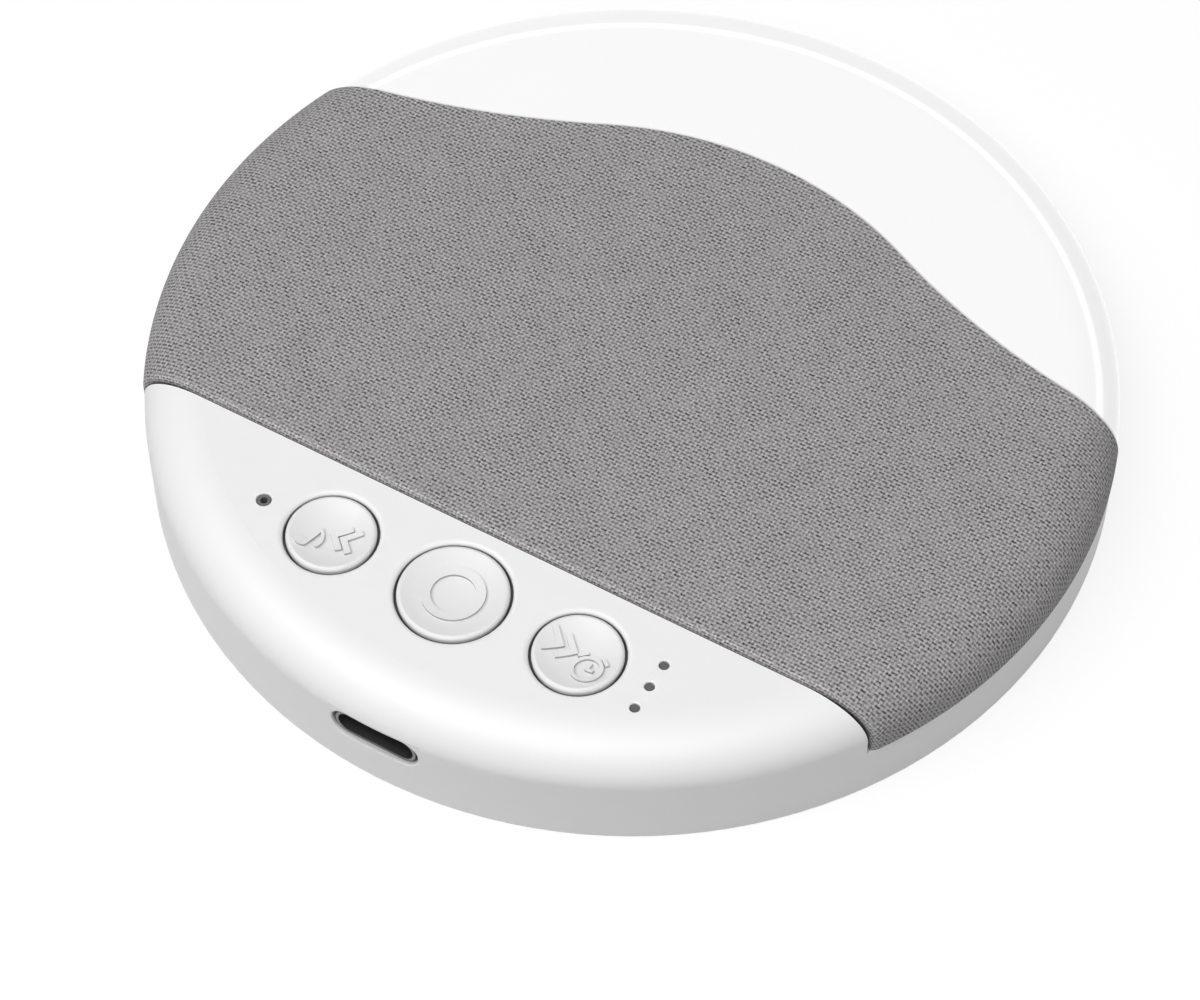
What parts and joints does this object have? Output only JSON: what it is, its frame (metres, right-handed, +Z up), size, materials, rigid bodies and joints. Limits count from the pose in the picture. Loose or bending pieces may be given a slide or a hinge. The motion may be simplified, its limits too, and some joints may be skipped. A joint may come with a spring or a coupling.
{
  "type": "pillow speaker",
  "caption": "Flat round pillow speaker: white case, cloth band over the driver, crescent night light, dished push buttons with symbols, charging socket and a soft ring to rest on.",
  "frame": {"origin": "centre of the round underside, on the plane that the soft ring stands on", "axes": "+Z up through the cloth face, -Y towards the control panel and the charging socket, +Y towards the night light"},
  "size_m": [0.098, 0.0976, 0.0131],
  "materials": {
    "white_case": "fine satin white",
    "cloth": "grey plain weave",
    "milky_cover": "milky satin",
    "soft_ring": "matte",
    "carrier_plastic": "moulded dark grey",
    "clear_plastic": "clear",
    "board": "solder mask",
    "black_plastic": "moulded black",
    "cream_plastic": "moulded cream",
    "steel": "bright",
    "gold_contact": "plated",
    "ferrite": "sintered",
    "magnet": "nickel plated",
    "copper": "enamelled wire",
    "basket_metal": "black",
    "cone_paper": "pressed pulp",
    "soft_rubber": "matte",
    "cell_foil": "foil pouch",
    "tape": "double-sided",
    "red_lead": "insulated wire",
    "black_lead": "insulated wire",
    "white_lead": "insulated wire"
  },
  "bodies": {
    "case": {"amplifier_chip": "black_plastic", "base_cover": "white_case", "base_pad": "soft_ring", "battery_cell": "cell_foil", "battery_connector": "cream_plastic", "battery_guard_board": "board", "battery_lead_minus": "black_lead", "battery_lead_plus": "red_lead", "battery_tape": "tape", "board_capacitors": "ferrite", "case_screws": "steel", "centre_switch_body": "cream_plastic", "centre_switch_dome": "steel", "clock_crystal": "steel", "controller_chip": "black_plastic", "driver_basket": "basket_metal", "driver_gasket": "soft_rubber", "driver_magnet": "magnet", "driver_pole_plate": "steel", "driver_screws": "steel", "driver_surround": "soft_rubber", "driver_terminals": "board", "driver_yoke": "steel", "fabric_cover": "cloth", "grille_carrier": "carrier_plastic", "indicator_lamps": "clear_plastic", "indicator_light_pipe": "clear_plastic", "left_switch_body": "cream_plastic", "left_switch_dome": "steel", "light_board": "board", "light_board_connector": "cream_plastic", "light_connector": "cream_plastic", "light_diffuser": "milky_cover", "light_leads": "white_lead", "main_board": "board", "main_housing": "white_case", "microphone": "steel", "microphone_boot": "black_plastic", "night_lamps": "clear_plastic", "power_coil": "ferrite", "radio_board": "board", "radio_shield": "steel", "right_switch_body": "cream_plastic", "right_switch_dome": "steel", "speaker_connector": "cream_plastic", "speaker_leads": "red_lead", "usb_contacts": "gold_contact", "usb_shell": "steel", "usb_tongue": "black_plastic"},
    "cone": {"driver_cone": "cone_paper", "dust_cap": "cone_paper", "coil_former": "cone_paper", "coil_winding": "copper"},
    "left_key": {"left_button": "white_case", "left_switch_plunger": "black_plastic"},
    "centre_key": {"centre_button": "white_case", "centre_switch_plunger": "black_plastic"},
    "right_key": {"right_button": "white_case", "right_switch_plunger": "black_plastic"}
  },
  "joints": [
    {"name": "left_press", "type": "slide", "parent": "case", "child": "left_key", "axis": [0, 0, -1], "range_m": [0, 0.0003], "stiffness_N_per_m": 1000, "deforming": ["left_switch_dome"]},
    {"name": "centre_press", "type": "slide", "parent": "case", "child": "centre_key", "axis": [0, 0, -1], "range_m": [0, 0.0003], "stiffness_N_per_m": 1000, "deforming": ["centre_switch_dome"]},
    {"name": "right_press", "type": "slide", "parent": "case", "child": "right_key", "axis": [0, 0, -1], "range_m": [0, 0.0003], "stiffness_N_per_m": 1000, "deforming": ["right_switch_dome"]},
    {"name": "cone_stroke", "type": "slide", "parent": "case", "child": "cone", "axis": [0, 0, 1], "range_m": [-0.0004, 0.0004], "stiffness_N_per_m": 1500, "deforming": ["driver_surround"]}
  ]
}
